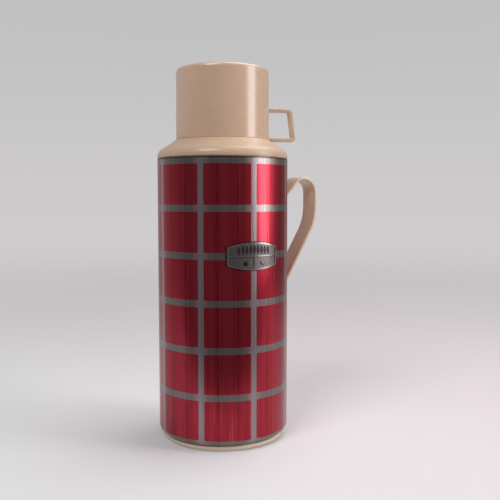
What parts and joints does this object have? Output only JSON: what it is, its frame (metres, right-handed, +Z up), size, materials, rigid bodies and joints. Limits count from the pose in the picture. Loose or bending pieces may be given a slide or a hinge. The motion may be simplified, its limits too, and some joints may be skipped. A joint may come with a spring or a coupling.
{
  "type": "vacuum flask",
  "caption": "Tall insulated vacuum flask with a patterned steel jacket, plastic shoulder, strap handle, screw stopper and drinking cup.",
  "frame": {"origin": "centre of the base, on the surface that the flask stands on", "axes": "+Z up along the flask's axis, +X towards the strap handle, -Y towards the badge"},
  "size_m": [0.1425, 0.1093, 0.305],
  "materials": {
    "jacket": "translucent red lacquer blocks on brushed tinned steel",
    "cream_plastic": "satin moulded",
    "base_plastic": "satin moulded",
    "handle_plastic": "satin moulded",
    "stopper_plastic": "moulded with ribs",
    "badge_metal": "stamped, satin with dark enamel",
    "rivet_metal": "satin",
    "silvered_glass": "silvered between the walls",
    "seal_rubber": "moulded",
    "buffer_rubber": "moulded",
    "gasket_silicone": "moulded silicone",
    "foam": "expanded foam",
    "spacer_fibre": "pressed fibre"
  },
  "bodies": {
    "flask": {"outer_jacket": "jacket", "shoulder_collar": "cream_plastic", "neck_seal_ring": "seal_rubber", "glass_outer_flask": "silvered_glass", "glass_inner_flask": "silvered_glass", "glass_spacer_pads": "spacer_fibre", "glass_tip_cap": "seal_rubber", "base_ring": "base_plastic", "handle": "handle_plastic", "handle_rivets": "rivet_metal", "handle_washers": "rivet_metal", "badge_plate": "badge_metal", "badge_pins": "rivet_metal"},
    "stopper_seal": {"stopper_gasket": "gasket_silicone"},
    "stopper": {"stopper_body": "stopper_plastic", "stopper_foam_core": "foam", "stopper_top_cap": "stopper_plastic"},
    "cup": {"cup": "cream_plastic"},
    "plug_seat": {"base_buffer": "buffer_rubber"},
    "plug": {"base_plug": "base_plastic"}
  },
  "joints": [
    {"name": "cup_lift", "type": "slide", "parent": "flask", "child": "cup", "axis": [0, 0, 1], "range_m": [0, 0.12]},
    {"name": "stopper_lift", "type": "slide", "parent": "flask", "child": "stopper_seal", "axis": [0, 0, 1], "range_m": [0, 0.0245]},
    {"name": "stopper_turn", "type": "hinge", "parent": "stopper_seal", "child": "stopper", "pos_m": [0, 0, 0.25], "axis": [0, 0, 1], "range_deg": [0, 1260]},
    {"name": "plug_drop", "type": "slide", "parent": "flask", "child": "plug_seat", "axis": [0, 0, 1], "range_m": [-0.0085, 0]},
    {"name": "plug_turn", "type": "hinge", "parent": "plug_seat", "child": "plug", "pos_m": [0, 0, 0.008], "axis": [0, 0, 1], "range_deg": [-612, 0]}
  ],
  "couplings": [
    {"joint": "stopper_lift", "follows": "stopper_turn", "m_per_rad": 0.0011141},
    {"joint": "plug_drop", "follows": "plug_turn", "m_per_rad": 0.00079577}
  ]
}
